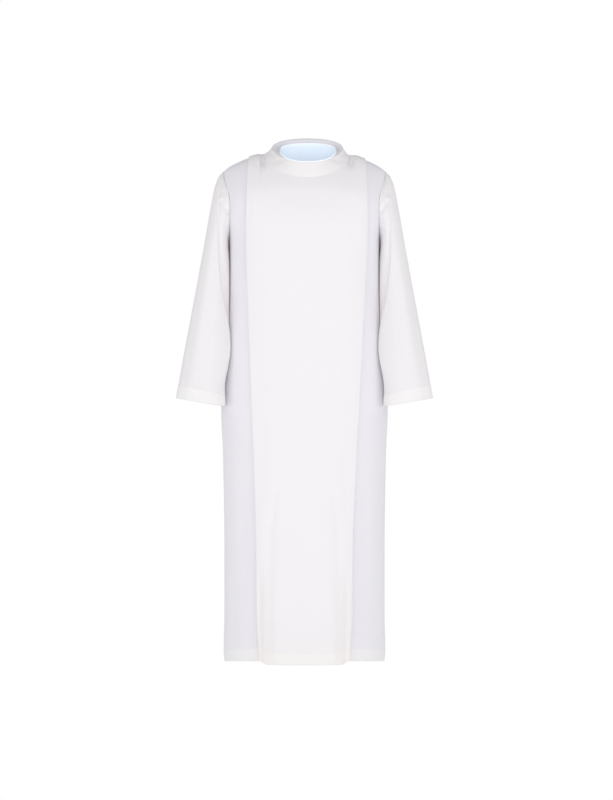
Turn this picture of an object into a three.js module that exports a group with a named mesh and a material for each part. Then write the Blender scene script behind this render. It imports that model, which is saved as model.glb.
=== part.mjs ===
// An alb: a long white liturgical robe with a wide pleated front, a funnel collar and straight sleeves, standing in
// the shape that it has when it is worn. Each cut piece of cloth is one closed solid, a wall of even thickness.
//
// Millimetres. +Z is up, the wearer faces -Y, and the wearer's left side is at +X. The origin is midway between the
// two points where the shoulder seams meet the collar, which is where the shoulders carry the robe.
//
// The robe's form is one function, bodyPoint, of an angle round the body and a height. A panel is a patch of that
// form, and a sleeve is a row of rings that starts on the armhole.
import * as THREE from "three";

// ---- Driving dimensions ----
const CLOTH = 1.0; // one layer of cloth
const COLLAR_CLOTH = 1.6; // two layers with interfacing between them
const SEAM_GAP = 0.4; // between two pieces that are sewn together
const HEM_Z = -1437; // the lower edge of the robe
const HEM_DEPTH = 34; // the hem's turned-up cloth, as deep at the cuffs
const HEM_INSET = CLOTH + 0.4; // how far inside its panel the turned-up cloth lies
const CUFF_INSET = HEM_INSET * 1.15; // the same at the cuff, measured towards the ring's middle
const SHOULDER_HALF = 236; // half width that the shoulder line is worked out on
const FRONT_RISE = 130; // height over which the front curves over to the shoulder seam
const BACK_RISE = 100; // the same behind
const ARCH_LENGTH = 1.35; // length of that curve, as a share of its height
const NECK_HALF = 120; // half width of the neckline, at the shoulder seams
const NECK_X = 7; // how far the neckline sits to the wearer's left
const NECK_DROP_FRONT = 72; // how far the neckline drops below the seams in front
const NECK_DROP_BACK = 6; // and behind
const NECKLINE_ROUND = 0.45; // 0.5 would make the neckline an ellipse, and less makes its middle flatter
const PLEAT_RETURN = 34; // width folded under, behind each edge of the centre panel
const ARMHOLE_TOP_Z = -48;
const UNDERARM_Z = -245;
const FRONT = -1;
const BACK = 1;
const ROUNDS = 12; // enough to settle a height within a hundredth of a millimetre

// ---- Tables ----

// The body's section at each height: half width, how far the cloth stands in front of the side seams and behind them,
// and how round the section is, where 1 is an ellipse and less is squarer.
const BODY = [
  { z: 30, half: 236, front: 90, back: 98, round: 0.77 },
  { z: -48, half: 236, front: 94, back: 106, round: 0.77 },
  { z: -120, half: 232, front: 110, back: 114, round: 0.77 },
  { z: -180, half: 221, front: 121, back: 117, round: 0.78 },
  { z: -245, half: 212, front: 126, back: 116, round: 0.8 },
  { z: -380, half: 213.5, front: 128, back: 112, round: 0.86 },
  { z: -500, half: 220, front: 128, back: 112, round: 0.9 },
  { z: -620, half: 229, front: 128, back: 114, round: 0.91 },
  { z: -724, half: 236, front: 129, back: 117, round: 0.92 },
  { z: -850, half: 231, front: 130, back: 121, round: 0.92 },
  { z: -1120, half: 227, front: 133, back: 130, round: 0.92 },
  { z: -1300, half: 227, front: 136, back: 136, round: 0.92 },
  { z: -1400, half: 229, front: 138, back: 139, round: 0.92 },
  { z: -1440, half: 226, front: 137, back: 139, round: 0.92 },
];

// The shoulder line, from the middle of the neck outwards.
const SHOULDER = [
  { x: 0, z: 24 },
  { x: 60, z: 16 },
  { x: 100, z: 6 },
  { x: 120, z: 1 },
  { x: 145, z: -5 },
  { x: 170, z: -14 },
  { x: 197, z: -26 },
  { x: 216, z: -37 },
  { x: 229, z: -48 },
  { x: 237, z: -58 },
];

// The armhole's edge, from the underarm up to the shoulder.
const ARMHOLE = [
  { z: -245, x: 212 },
  { z: -220, x: 211 },
  { z: -190, x: 210 },
  { z: -151, x: 209.5 },
  { z: -131, x: 210.5 },
  { z: -113, x: 213 },
  { z: -92, x: 220 },
  { z: -62, x: 228 },
  { z: -48, x: 229 },
];

// The centre panel: half its width between the folded edges, how far it has slid to the wearer's left, how high an
// edge's lower layer and its upper layer lie over the side panel, and how high the middle of the panel lies.
const PLEAT = [
  { z: 0, half: 162, shift: 7, under: 2.6, over: 4.4, middle: 0 },
  { z: -50, half: 166, shift: 7, under: 2.6, over: 4.4, middle: 0.5 },
  { z: -100, half: 168, shift: 7, under: 2.6, over: 4.4, middle: 2 },
  { z: -220, half: 169, shift: 6, under: 2.4, over: 4.4, middle: 3.6 },
  { z: -412, half: 162, shift: 4.5, under: 2.4, over: 4.8, middle: 4.5 },
  { z: -554, half: 156, shift: 4, under: 2.3, over: 5, middle: 5 },
  { z: -696, half: 150, shift: 2.5, under: 2.2, over: 5.4, middle: 6 },
  { z: -838, half: 143, shift: 1.5, under: 2.2, over: 7, middle: 8 },
  { z: -1122, half: 133, shift: 0, under: 2.8, over: 11, middle: 16 },
  { z: -1300, half: 131, shift: 0, under: 3.4, over: 14, middle: 22 },
  { z: -1440, half: 124, shift: 0, under: 4, over: 15, middle: 24 },
];

// The sleeve's rings, from the armhole to the cuff: how far along the sleeve, where the ring's outer edge and its
// inner edge lie, half its depth from front to back, and where its middle lies.
const SLEEVE = [
  { v: 0, outX: 229.4, outZ: -48, inX: 212.6, inZ: -245.6, depth: 62, midY: 0 },
  { v: 0.05, outX: 242, outZ: -62, inX: 215, inZ: -254, depth: 66, midY: -1 },
  { v: 0.12, outX: 254, outZ: -92, inX: 215.4, inZ: -270, depth: 67, midY: -3 },
  { v: 0.24, outX: 266, outZ: -152, inX: 214.8, inZ: -300, depth: 66, midY: -9 },
  { v: 0.4, outX: 286, outZ: -268, inX: 216, inZ: -372, depth: 64, midY: -20 },
  { v: 0.55, outX: 305, outZ: -375, inX: 220.2, inZ: -455, depth: 62, midY: -33 },
  { v: 0.7, outX: 324, outZ: -480, inX: 226, inZ: -540, depth: 60, midY: -48 },
  { v: 0.85, outX: 343, outZ: -585, inX: 225.5, inZ: -630, depth: 58, midY: -61 },
  { v: 1, outX: 361, outZ: -690, inX: 223, inZ: -713, depth: 57, midY: -72 },
];
// The back of the sleeve falls in against the body: how far, at which angle round the ring, and half its breadth.
const SLEEVE_TUCK = { reach: 8, angle: 228, width: 20 };

// The folds that the sleeve breaks into: a groove runs from one end to the other, at an angle round the ring, where
// 0 is the outer edge and 90 the front. width is half its breadth in degrees.
const SLEEVE_FOLDS = [
  { fromV: 0.05, fromAngle: 52, toV: 0.68, toAngle: 176, width: 14, depth: 15 },
  { fromV: 0.5, fromAngle: 150, toV: 1, toAngle: 128, width: 16, depth: 3 },
  { fromV: 0.1, fromAngle: 262, toV: 0.7, toAngle: 244, width: 16, depth: 7 },
  { fromV: 0.3, fromAngle: 300, toV: 1, toAngle: 280, width: 20, depth: 4 },
];

// The collar's rims, low in front and high behind. square is 1 for an ellipse and less for a squarer rim, and lift is
// how far the rim stands above its plane at the sides.
const OUTER_RIM = { halfX: 101, halfY: 80, midX: 8, midY: -5, midZ: 12.5, tilt: 40, square: 1, lift: 5 };
const INNER_RIM = { halfX: 79, halfY: 73, midX: 10, midY: -9.5, midZ: 7, tilt: 32, square: 0.86, lift: 6 };
const COLLAR_BULGE = 6; // how far the collar's sides swell between base and rim
const LINING_FOOT = 60; // how far the inner collar reaches down inside
const LINING_SPREAD = 1.06; // how much wider its foot is than its rim

// The soft vertical folds of the back and the sides: the angle round the body, half the breadth, and the depth at
// the hem. They fade out upwards.
const BACK_FOLDS = [
  { angle: 118, width: 9, depth: 11 },
  { angle: 141, width: 11, depth: -12 },
  { angle: 160, width: 8, depth: 9 },
  { angle: 182, width: 11, depth: -11 },
  { angle: 203, width: 9, depth: 10 },
  { angle: 222, width: 10, depth: -12 },
  { angle: 243, width: 9, depth: 11 },
];
const BACK_FOLDS_TOP = -330; // the height above which those folds have gone

// ---- Curves through the tables ----

// A smooth curve of one column against another that never swings past the values in the table.
function curve(table, key, column) {
  const rows = [...table].sort((a, b) => a[key] - b[key]);
  const at = rows.map((row) => row[key]);
  const value = rows.map((row) => row[column]);
  const rise = at.slice(1).map((a, i) => (value[i + 1] - value[i]) / (a - at[i]));
  const slope = value.map((_, i) => {
    if (i === 0) return rise[0];
    if (i === value.length - 1) return rise[i - 1];
    const product = rise[i - 1] * rise[i];
    return product <= 0 ? 0 : (2 * product) / (rise[i - 1] + rise[i]);
  });
  return (wanted) => {
    const place = Math.min(Math.max(wanted, at[0]), at[at.length - 1]);
    let i = 0;
    while (i < at.length - 2 && place > at[i + 1]) i += 1;
    const span = at[i + 1] - at[i];
    const t = (place - at[i]) / span;
    const bend0 = span * slope[i] * t * (1 - t) * (1 - t);
    const bend1 = span * slope[i + 1] * t * t * (t - 1);
    return value[i] + (value[i + 1] - value[i]) * t * t * (3 - 2 * t) + bend0 + bend1;
  };
}

const bodyHalf = curve(BODY, "z", "half");
const bodyFront = curve(BODY, "z", "front");
const bodyBack = curve(BODY, "z", "back");
const bodyRound = curve(BODY, "z", "round");
const shoulderZ = curve(SHOULDER, "x", "z");
const armholeX = curve(ARMHOLE, "z", "x");
const pleatHalf = curve(PLEAT, "z", "half");
const pleatShift = curve(PLEAT, "z", "shift");
const pleatUnder = curve(PLEAT, "z", "under");
const pleatOver = curve(PLEAT, "z", "over");
const pleatMiddle = curve(PLEAT, "z", "middle");

const lerp = THREE.MathUtils.lerp;
const smoothstep = THREE.MathUtils.smoothstep;
const radians = THREE.MathUtils.degToRad;
const signedPower = (value, power) => Math.sign(value) * Math.abs(value) ** power;
const range = (count) => Array.from({ length: count }, (_, i) => i);
const bump = (distance, width) => Math.exp(-((distance / width) ** 2));

// ---- The form of the body ----

// The share of the half width at an angle, and the angle for a share. Angle 0 is the middle of the front or the back,
// and a quarter turn is the side seam.
const shareAt = (angle, z) => signedPower(Math.sin(angle), bodyRound(z));
const angleAt = (share, z) => Math.asin(Math.min(1, share) ** (1 / bodyRound(z)));

// How far the soft folds push the back out at an angle from the middle of the front, 0 to 360 degrees.
function backFold(degrees, z) {
  const fade = smoothstep(BACK_FOLDS_TOP - z, 0, BACK_FOLDS_TOP - HEM_Z);
  return BACK_FOLDS.reduce((sum, f) => sum + f.depth * fade * bump(degrees - f.angle, f.width), 0);
}

// A point on the middle of the cloth. Above the shoulder line's rise the cloth curves over to the seam, along a
// quarter of an ellipse.
function bodyPoint(angle, z, side) {
  const share = shareAt(angle, z);
  const rise = side === FRONT ? FRONT_RISE : BACK_RISE;
  const drop = Math.max(0, shoulderZ(SHOULDER_HALF * Math.abs(share)) - z);
  const arch = drop >= rise ? 1 : Math.sqrt(1 - (1 - drop / rise) ** 2);
  const reach = side === FRONT ? bodyFront(z) : bodyBack(z);
  const degrees = 180 - THREE.MathUtils.radToDeg(angle);
  const out = side === BACK ? backFold(degrees, z) * Math.cos(angle) ** 0.5 : 0;
  const y = side * (reach + out) * Math.abs(Math.cos(angle)) ** bodyRound(z) * arch;
  return new THREE.Vector3(bodyHalf(z) * share, y, z);
}

// The outward direction there, from a small step round the body and a small step down it. Both are taken a little
// below the point, because the form has an edge at the shoulder seam.
const TURN_STEP = 0.02;
const DOWN_STEP = 4;
const BELOW_SEAM = 3;
function bodyNormal(angle, z, side) {
  const limit = Math.PI / 2 - 2 * TURN_STEP;
  const inside = Math.min(Math.max(angle, -limit), limit);
  const low = z - BELOW_SEAM;
  const across = bodyPoint(inside + TURN_STEP, low, side).sub(bodyPoint(inside - TURN_STEP, low, side));
  const down = bodyPoint(inside, low - DOWN_STEP, side).sub(bodyPoint(inside, low, side));
  const normal = across.cross(down).normalize();
  return normal.dot(new THREE.Vector3(Math.sin(angle), side * Math.cos(angle), 0)) < 0 ? normal.negate() : normal;
}

// The length of cloth down from the shoulder line for a drop in height, and the drop for a length.
function clothLength(drop, rise) {
  const arc = ARCH_LENGTH * rise;
  return drop >= rise ? arc + drop - rise : (arc * Math.acos(1 - drop / rise)) / (Math.PI / 2);
}
function dropFor(length, rise) {
  const arc = ARCH_LENGTH * rise;
  return length >= arc ? rise + length - arc : rise * (1 - Math.cos((Math.PI / 2) * (length / arc)));
}

// ---- Rows and columns of a panel ----

// The heights at which the rows of a panel meet the armhole and the side seam.
const ROW_HEIGHTS = [
  ARMHOLE_TOP_Z, -60, -80, -104, -131, -158, -190, -220, UNDERARM_Z,
  -290, -360, -450, -560, -680, -800, -930, -1060, -1180, -1280, -1350,
  HEM_Z + HEM_DEPTH, HEM_Z,
];
const HEM_ROWS = 2; // the last rows, which the turned-up hem follows

// The angle of a panel's outer edge at a row: the armhole above the underarm, and the side seam below it.
function edgeAngle(z) {
  return z <= UNDERARM_Z ? Math.PI / 2 : angleAt(armholeX(z) / bodyHalf(z), z);
}

// How far down the cloth each row lies, from 0 at the shoulder to 1 at the hem.
function rowShares(side) {
  const rise = side === FRONT ? FRONT_RISE : BACK_RISE;
  return ROW_HEIGHTS.map((z) => {
    const top = shoulderZ(SHOULDER_HALF * shareAt(edgeAngle(z), z));
    return clothLength(Math.max(0, top - z), rise) / clothLength(top - HEM_Z, rise);
  });
}
const SHARES = { [FRONT]: rowShares(FRONT), [BACK]: rowShares(BACK) };

// The height of the neckline over a half width of x, or of the shoulder seam beyond the neckline.
function topZ(x, side) {
  const seam = shoulderZ(Math.abs(x));
  const share = (x - NECK_X) / NECK_HALF;
  if (Math.abs(share) >= 1) return seam;
  const drop = side === FRONT ? NECK_DROP_FRONT : NECK_DROP_BACK;
  return Math.min(shoulderZ(NECK_HALF) - drop * (1 - share ** 2) ** NECKLINE_ROUND, seam);
}

// The height of a row at an angle. The angle's share of the width is taken at the height itself, so it is found in a
// few rounds.
function rowZ(angle, row, side) {
  const rise = side === FRONT ? FRONT_RISE : BACK_RISE;
  let z = ROW_HEIGHTS[row];
  for (let round = 0; round < ROUNDS; round += 1) {
    const x = SHOULDER_HALF * shareAt(angle, z);
    const seam = shoulderZ(Math.abs(x));
    const first = clothLength(Math.max(0, seam - topZ(x, side)), rise);
    const last = clothLength(seam - HEM_Z, rise);
    z = seam - dropFor(lerp(first, last, SHARES[side][row]), rise);
  }
  return z;
}

// A point on a panel, a height over the form, kept clear of the seam with the other side.
function panelPoint(angle, row, side, height = 0) {
  const z = rowZ(angle, row, side);
  const point = bodyPoint(angle, z, side);
  if (height !== 0) point.addScaledVector(bodyNormal(angle, z, side), height);
  point.y = side * Math.max(side * point.y, SEAM_GAP / 2);
  return point;
}

// The angle of the pleat's edge at a row, on the wearer's left where sign is 1.
function pleatAngle(row, sign) {
  let z = ROW_HEIGHTS[row];
  let angle = 0;
  for (let round = 0; round < ROUNDS; round += 1) {
    angle = angleAt((pleatHalf(z) + sign * pleatShift(z)) / bodyHalf(z), z);
    z = rowZ(sign * angle, row, FRONT);
  }
  return angle;
}
const pleatAngles = (sign) => ROW_HEIGHTS.map((_, row) => pleatAngle(row, sign));
const PLEAT_ANGLES = { [-1]: pleatAngles(-1), 1: pleatAngles(1) };

// The angle that lies a distance in millimetres nearer the middle than an angle, on the side that sign names.
function inwards(angle, row, distance, sign) {
  const z = rowZ(sign * angle, row, FRONT);
  const step = 0.01;
  const speed = bodyPoint(angle, z, FRONT).distanceTo(bodyPoint(angle - step, z, FRONT)) / step;
  return angle - distance / speed;
}

// ---- Solids ----

// A closed solid of even thickness about a grid of points. With round, the last column joins the first.
function wall(grid, thickness, round = false) {
  const rows = grid.length;
  const columns = grid[0].length;
  const column = (c) => (round ? (c + columns) % columns : Math.min(Math.max(c, 0), columns - 1));
  const normals = grid.map((line, r) =>
    line.map((_, c) => {
      const across = grid[r][column(c + 1)].clone().sub(grid[r][column(c - 1)]);
      const down = grid[Math.min(r + 1, rows - 1)][c].clone().sub(grid[Math.max(r - 1, 0)][c]);
      return across.cross(down).normalize();
    }),
  );
  const points = [];
  for (const half of [thickness / 2, -thickness / 2])
    grid.forEach((line, r) => line.forEach((p, c) => points.push(p.clone().addScaledVector(normals[r][c], half))));
  const outer = (r, c) => r * columns + column(c);
  const inner = (r, c) => rows * columns + outer(r, c);
  const index = [];
  const quad = (a, b, c, d) => {
    const shorter = points[a].distanceTo(points[c]) <= points[b].distanceTo(points[d]);
    index.push(...(shorter ? [a, b, c, a, c, d] : [a, b, d, b, c, d]));
  };
  const lastColumn = round ? columns : columns - 1;
  for (let c = 0; c < lastColumn; c += 1) {
    for (let r = 0; r < rows - 1; r += 1) {
      quad(outer(r, c), outer(r, c + 1), outer(r + 1, c + 1), outer(r + 1, c));
      quad(inner(r, c), inner(r + 1, c), inner(r + 1, c + 1), inner(r, c + 1));
    }
    quad(outer(0, c + 1), outer(0, c), inner(0, c), inner(0, c + 1));
    quad(outer(rows - 1, c), outer(rows - 1, c + 1), inner(rows - 1, c + 1), inner(rows - 1, c));
  }
  if (!round)
    for (let r = 0; r < rows - 1; r += 1) {
      quad(outer(r, 0), outer(r + 1, 0), inner(r + 1, 0), inner(r, 0));
      quad(outer(r + 1, columns - 1), outer(r, columns - 1), inner(r, columns - 1), inner(r + 1, columns - 1));
    }
  return facingOut(points, index);
}

// The geometry of those triangles, turned round if they enclose a negative volume.
function facingOut(points, index) {
  let volume = 0;
  for (let i = 0; i < index.length; i += 3) {
    const [a, b, c] = [points[index[i]], points[index[i + 1]], points[index[i + 2]]];
    volume += a.dot(b.clone().cross(c));
  }
  const turned = volume < 0 ? [...index].reverse() : index;
  const positions = new Float32Array(points.flatMap((p) => p.toArray()));
  const geometry = new THREE.BufferGeometry();
  geometry.setAttribute("position", new THREE.BufferAttribute(positions, 3));
  geometry.setIndex(turned);
  geometry.computeVertexNormals();
  return geometry;
}

// The same grid moved towards its inside, for turned-up cloth. inside says which way that is at a point.
function moved(grid, distance, inside) {
  const last = grid.length - 1;
  return grid.map((line, r) =>
    line.map((p, c) => {
      const across = line[Math.min(c + 1, line.length - 1)].clone().sub(line[Math.max(c - 1, 0)]);
      const down = grid[Math.min(r + 1, last)][c].clone().sub(grid[Math.max(r - 1, 0)][c]);
      const normal = across.cross(down).normalize();
      if (normal.dot(inside(p)) < 0) normal.negate();
      return p.clone().addScaledVector(normal, distance);
    }),
  );
}

// ---- The panels ----

// The front's centre panel. Each row starts at the inner end of the cloth folded under on one side, runs out to the
// fold, round it, over to the other fold and back under.
const PLEAT_UNDER_STEPS = [1, 0.5, 0]; // shares of the folded-under width
const FOLD_STEPS = [-60, 0, 60]; // degrees round the fold
const PANEL_STEPS = [1, 0.9, 0.8, 0.72, 0.635, 0.5, 0.35, 0.18, 0]; // shares of the panel's angle

function foldSide(row, sign) {
  const edge = PLEAT_ANGLES[sign][row];
  const z = rowZ(sign * edge, row, FRONT);
  const under = pleatUnder(z);
  const over = pleatOver(z);
  const radius = (over - under) / 2;
  const at = (distance, height) => panelPoint(sign * inwards(edge, row, distance, sign), row, FRONT, height);
  const folded = PLEAT_UNDER_STEPS.map((s) => at(lerp(radius, PLEAT_RETURN, s), under));
  const turn = FOLD_STEPS.map((degrees) => {
    const a = radians(degrees);
    return at(radius * (1 - Math.cos(a)), (over + under) / 2 + radius * Math.sin(a));
  });
  return [...folded, ...turn];
}

// How high the panel's upper layer lies over the form, at a share of its angle. The middle's height changes to the
// edge's height between two shares.
const MIDDLE_END = 0.66;
const EDGE_START = 0.8;
function panelHeight(share, z) {
  return lerp(pleatMiddle(z), pleatOver(z), smoothstep(Math.abs(share), MIDDLE_END, EDGE_START));
}

function topLayer(row) {
  const half = (sign) => {
    const edge = PLEAT_ANGLES[sign][row];
    const z = rowZ(sign * edge, row, FRONT);
    const reach = inwards(edge, row, (pleatOver(z) - pleatUnder(z)) / 2, sign);
    return PANEL_STEPS.map((s) => panelPoint(sign * reach * s, row, FRONT, panelHeight(s, z)));
  };
  return [...half(-1), ...half(1).reverse().slice(1)];
}

const centreGrid = range(ROW_HEIGHTS.length).map((row) => [
  ...foldSide(row, -1),
  ...topLayer(row),
  ...foldSide(row, 1).reverse(),
]);

// A side panel of the front, from under the pleat to the armhole and the side seam. Its first columns lie under the
// pleat's own columns.
const SIDE_STEPS = [0.22, 0.42, 0.6, 0.78, 0.91, 1]; // shares of the angle from the pleat's edge to the outer edge
function sideGrid(sign) {
  return range(ROW_HEIGHTS.length).map((row) => {
    const fold = PLEAT_ANGLES[sign][row];
    const outer = edgeAngle(ROW_HEIGHTS[row]);
    const covered = PLEAT_UNDER_STEPS.map((s) => inwards(fold, row, PLEAT_RETURN * s, sign));
    const open = SIDE_STEPS.map((s) => lerp(fold, outer, s));
    return [...covered, ...open].map((angle) => panelPoint(sign * angle, row, FRONT));
  });
}

const BACK_STEPS = [1, 0.91, 0.8, 0.69, 0.58, 0.47, 0.35, 0.23, 0.12];
const backShares = [...BACK_STEPS.map((s) => -s), 0, ...[...BACK_STEPS].reverse()];
const backGrid = range(ROW_HEIGHTS.length).map((row) =>
  backShares.map((s) => panelPoint(s * edgeAngle(ROW_HEIGHTS[row]), row, BACK)),
);

// The turned-up hem inside a panel.
const towardsAxis = (p) => new THREE.Vector3(-p.x, -p.y, 0);
const hemOf = (grid, first = 0, last = undefined) =>
  moved(grid.slice(-HEM_ROWS).map((line) => line.slice(first, last)), HEM_INSET, towardsAxis);

// ---- The sleeves ----

const RING_COLUMNS = 24;
const RING_PLACES = [0, 0.03, 0.08, 0.14, 0.21, 0.29, 0.38, 0.47, 0.57, 0.68, 0.8, 0.952, 1];
const CUFF_ROWS = 2;
const sleeve = Object.fromEntries(
  ["outX", "outZ", "inX", "inZ", "depth", "midY"].map((column) => [column, curve(SLEEVE, "v", column)]),
);

// A point of the plain ring, an ellipse between the outer edge and the inner edge.
function ringPoint(turn, v) {
  const across = (1 + Math.cos(turn)) / 2;
  return new THREE.Vector3(
    lerp(sleeve.inX(v), sleeve.outX(v), across),
    sleeve.midY(v) - sleeve.depth(v) * Math.sin(turn),
    lerp(sleeve.inZ(v), sleeve.outZ(v), across),
  );
}

// The armhole's edge for the same turn, moved clear of the panels: out by a layer of cloth, and a little away from
// the armhole's middle.
const ARMHOLE_CLEAR = 0.35;
function armholePoint(turn) {
  const z = lerp(UNDERARM_Z, ARMHOLE_TOP_Z, (1 + Math.cos(turn)) / 2);
  const side = Math.sin(turn) >= 0 ? FRONT : BACK;
  const point = bodyPoint(edgeAngle(z), z, side);
  const centre = new THREE.Vector3(point.x, 0, (ARMHOLE_TOP_Z + UNDERARM_Z) / 2);
  const away = point.clone().sub(centre).setX(0).normalize();
  return point.add(new THREE.Vector3(CLOTH, 0, 0)).addScaledVector(away, ARMHOLE_CLEAR);
}

// How deep the folds are there. A fold fades in over its first part, and out again unless it runs on to the cuff.
const FADE_SHARE = 0.3;
const FADE_POWER = 0.7;
function foldDepth(turn, v) {
  const degrees = THREE.MathUtils.radToDeg(turn);
  return SLEEVE_FOLDS.reduce((sum, fold) => {
    const along = (v - fold.fromV) / (fold.toV - fold.fromV);
    if (along <= 0 || along >= 1) return sum;
    const ends = fold.toV === 1 ? smoothstep(along, 0, FADE_SHARE) : Math.sin(Math.PI * along) ** FADE_POWER;
    return sum + fold.depth * ends * bump(degrees - lerp(fold.fromAngle, fold.toAngle, along), fold.width);
  }, 0);
}

// A ring of the sleeve. Near the armhole it takes the armhole's own shape, and the folds sink towards its middle.
const BLEND_END = 0.3; // how far down the sleeve the armhole's shape has gone
function sleeveRing(v, sign) {
  return range(RING_COLUMNS).map((i) => {
    const turn = (2 * Math.PI * i) / RING_COLUMNS;
    const point = ringPoint(turn, v);
    const share = Math.max(0, 1 - v / BLEND_END) ** 2;
    point.add(armholePoint(turn).sub(ringPoint(turn, 0)).multiplyScalar(share));
    const middle = ringPoint(0, v).add(ringPoint(Math.PI, v)).multiplyScalar(0.5);
    point.addScaledVector(middle.sub(point).normalize(), foldDepth(turn, v));
    const tuck = bump(THREE.MathUtils.radToDeg(turn) - SLEEVE_TUCK.angle, SLEEVE_TUCK.width);
    point.x -= SLEEVE_TUCK.reach * tuck * Math.sin(Math.PI * v);
    point.x *= sign;
    return point;
  });
}
const sleeveGrid = (sign) => RING_PLACES.map((v) => sleeveRing(v, sign));

// The turned-up cloth inside the cuff.
function cuffGrid(sign) {
  const rings = sleeveGrid(sign).slice(-CUFF_ROWS);
  return rings.map((ring) => {
    const middle = ring.reduce((sum, p) => sum.add(p), new THREE.Vector3()).multiplyScalar(1 / ring.length);
    return ring.map((p) => {
      const inwardsHere = middle.clone().sub(p);
      return p.clone().addScaledVector(inwardsHere.normalize(), CUFF_INSET);
    });
  });
}

// ---- The collar ----

// A point of a rim. Turn 0 is the front, a quarter turn the wearer's left, and half a turn the back.
function rimPoint(rim, turn) {
  const across = signedPower(Math.sin(turn), rim.square);
  const ahead = signedPower(Math.cos(turn), rim.square);
  const z = rim.midZ - rim.tilt * ahead + rim.lift * (1 - ahead ** 2);
  return new THREE.Vector3(rim.midX + rim.halfX * across, rim.midY - rim.halfY * ahead, z);
}

// The neckline's edge on the body, for the same turn. The form's width is taken at that height.
function necklinePoint(turn) {
  const side = Math.cos(turn) >= 0 ? FRONT : BACK;
  const x = NECK_X + NECK_HALF * Math.sin(turn);
  const z = topZ(x, side);
  const angle = Math.sign(x) * angleAt(Math.abs(x) / SHOULDER_HALF, z);
  const point = bodyPoint(angle, z, side);
  if (side === FRONT) point.addScaledVector(bodyNormal(angle, z, side), pleatMiddle(z));
  return point;
}

const COLLAR_LEVELS = [0, 0.33, 0.67, 1];
function collarGrid(from, to, steps) {
  const turns = range(steps + 1).map((i) => radians(lerp(from, to, i / steps)));
  return COLLAR_LEVELS.map((level) =>
    turns.map((turn) => {
      const foot = necklinePoint(turn);
      const rim = rimPoint(OUTER_RIM, turn);
      foot.addScaledVector(rim.clone().sub(foot).normalize(), COLLAR_CLOTH + SEAM_GAP);
      const out = new THREE.Vector3(Math.sin(turn), -Math.cos(turn), 0);
      return foot.lerp(rim, level).addScaledVector(out, COLLAR_BULGE * Math.sin(Math.PI * level));
    }),
  );
}

const LINING_COLUMNS = 28;
const LINING_LEVELS = [0, 0.5, 1];
const liningGrid = LINING_LEVELS.map((level) =>
  range(LINING_COLUMNS).map((i) => {
    const point = rimPoint(INNER_RIM, (2 * Math.PI * i) / LINING_COLUMNS);
    const spread = lerp(1, LINING_SPREAD, level);
    const x = INNER_RIM.midX + (point.x - INNER_RIM.midX) * spread;
    const y = INNER_RIM.midY + (point.y - INNER_RIM.midY) * spread;
    return point.set(x, y, point.z - LINING_FOOT * level);
  }),
);

// ---- The robe ----

const alb = new THREE.Group();
const FINISHES = {
  cloth: new THREE.MeshStandardMaterial({ color: 0xf6f4f2, roughness: 0.85, metalness: 0 }),
  collar: new THREE.MeshStandardMaterial({ color: 0xf7f2ec, roughness: 0.85, metalness: 0 }),
  lining: new THREE.MeshStandardMaterial({ color: 0xdce6f2, roughness: 0.8, metalness: 0 }),
};

function add(name, geometry, finish = "cloth") {
  const mesh = new THREE.Mesh(geometry, FINISHES[finish]);
  mesh.name = name;
  alb.add(mesh);
}

// How many columns at each end of the centre panel's row belong to the folded-under cloth and its fold.
const FOLD_COLUMNS = PLEAT_UNDER_STEPS.length + FOLD_STEPS.length + 1;
const COLLAR_SEAM = 0.8; // degrees from each shoulder seam to the end of a half of the collar
const COLLAR_FRONT_STEPS = 16;
const COLLAR_BACK_STEPS = 14;

add("front_centre", wall(centreGrid, CLOTH));
add("front_centre_hem", wall(hemOf(centreGrid, FOLD_COLUMNS, -FOLD_COLUMNS), CLOTH));
add("back", wall(backGrid, CLOTH));
add("back_hem", wall(hemOf(backGrid), CLOTH));
for (const [side, sign] of [["right", -1], ["left", 1]]) {
  const front = sideGrid(sign);
  add(`front_side_${side}`, wall(front, CLOTH));
  add(`front_side_hem_${side}`, wall(hemOf(front), CLOTH));
  add(`sleeve_${side}`, wall(sleeveGrid(sign), CLOTH, true));
  add(`cuff_hem_${side}`, wall(cuffGrid(sign), CLOTH, true));
}
const collarFront = collarGrid(-90 + COLLAR_SEAM, 90 - COLLAR_SEAM, COLLAR_FRONT_STEPS);
const collarBack = collarGrid(90 + COLLAR_SEAM, 270 - COLLAR_SEAM, COLLAR_BACK_STEPS);
add("collar_front", wall(collarFront, COLLAR_CLOTH), "collar");
add("collar_back", wall(collarBack, COLLAR_CLOTH), "collar");
add("collar_inner", wall(liningGrid, CLOTH, true), "lining");

export default alb;
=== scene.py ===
# %% [markdown]
# # A white alb, cut, sewn and worn
# An alb is the long white robe that is worn under other vestments. This one has a wide pleated front, a
# funnel collar and straight sleeves. The lesson builds each cut piece of cloth as one surface that numpy
# works out, gives the surfaces a thickness, and finishes them with a woven white cloth. Sizes in the
# tables are millimetres, as on a pattern card, and only the function that makes a mesh turns them into
# metres.

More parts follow.
